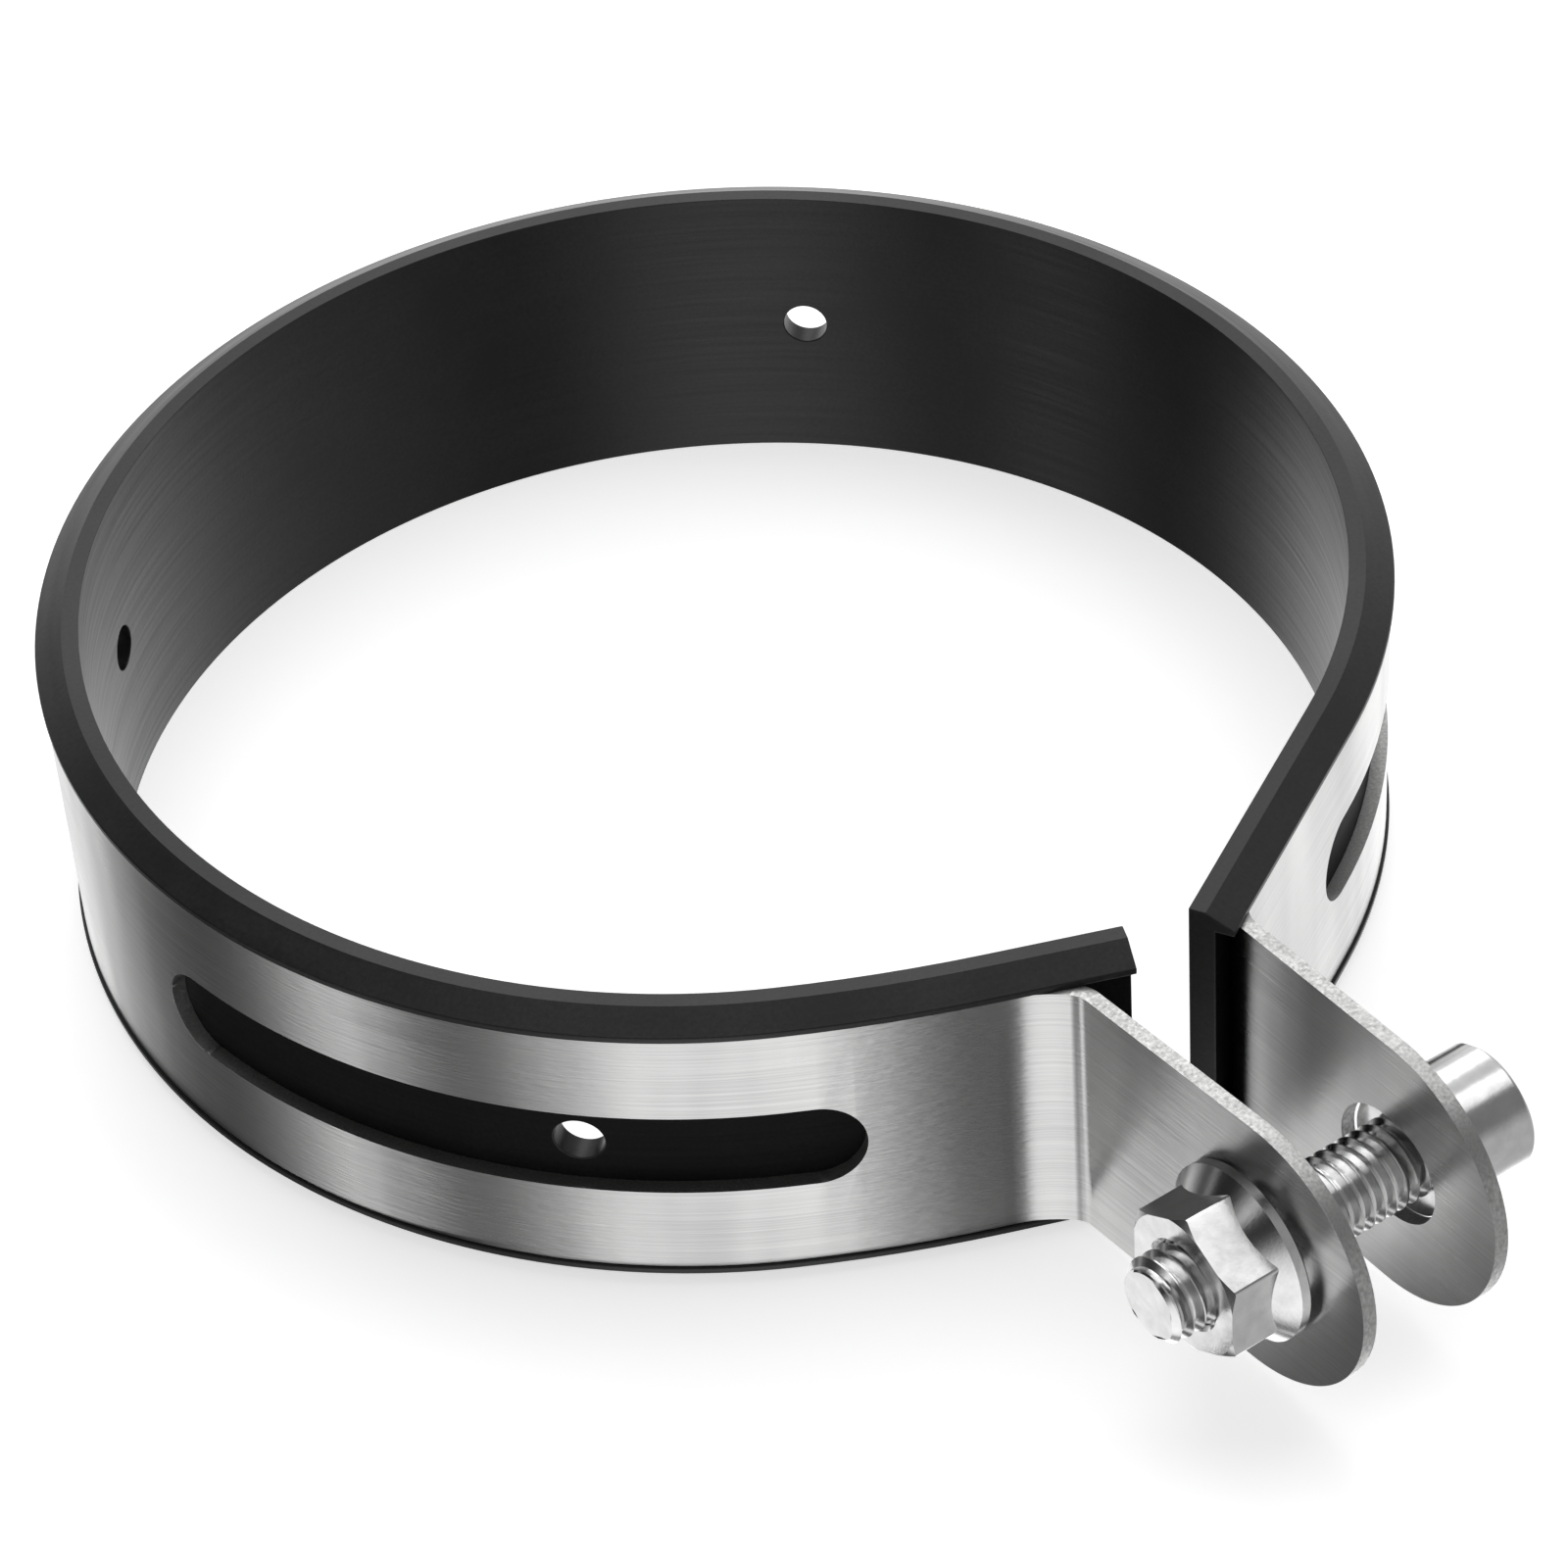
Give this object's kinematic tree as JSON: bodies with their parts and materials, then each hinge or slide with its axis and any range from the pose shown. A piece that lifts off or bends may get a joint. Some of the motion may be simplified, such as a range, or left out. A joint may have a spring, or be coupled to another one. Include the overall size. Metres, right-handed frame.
{
  "type": "lined pipe clamp",
  "caption": "Rubber-lined stainless strap clamp with slots and two ears, closed round a pipe by a cap screw and flange nut.",
  "frame": {"origin": "middle of the pipe bore, half way along the liner's width", "axes": "+Z along the pipe; the ears point along -Y; the screw lies along X with its head at +X"},
  "size_m": [0.1286, 0.1675, 0.0316],
  "materials": {
    "stainless_strap": "brushed along the strip, sheared edges",
    "rubber_liner": "moulded black, slightly shiny inside",
    "plated_screw": "bright zinc plate",
    "plated_nut": "bright zinc plate"
  },
  "bodies": {
    "right_side": {"strap_right_half": "stainless_strap", "liner_right_half": "rubber_liner"},
    "left_side": {"strap_left_half": "stainless_strap", "liner_left_half": "rubber_liner"},
    "screw": {"cap_screw": "plated_screw"},
    "nut": {"flange_nut": "plated_nut"}
  },
  "joints": [
    {"name": "screw_turn", "type": "hinge", "parent": "right_side", "child": "screw", "pos_m": [0, -0.0895, 0], "axis": [-1, 0, 0], "range_deg": [-1440, 1800]},
    {"name": "clamp_close", "type": "hinge", "parent": "right_side", "child": "left_side", "pos_m": [0, 0.0625, 0], "axis": [0, 0, 1], "range_deg": [-2.01, 2.5]},
    {"name": "nut_travel", "type": "slide", "parent": "right_side", "child": "nut", "axis": [1, 0, 0], "range_m": [-0.00501, 0.00626]}
  ],
  "couplings": [
    {"joint": "clamp_close", "follows": "screw_turn", "ratio": 0.0013864},
    {"joint": "nut_travel", "follows": "screw_turn", "m_per_rad": 0.00019894}
  ]
}
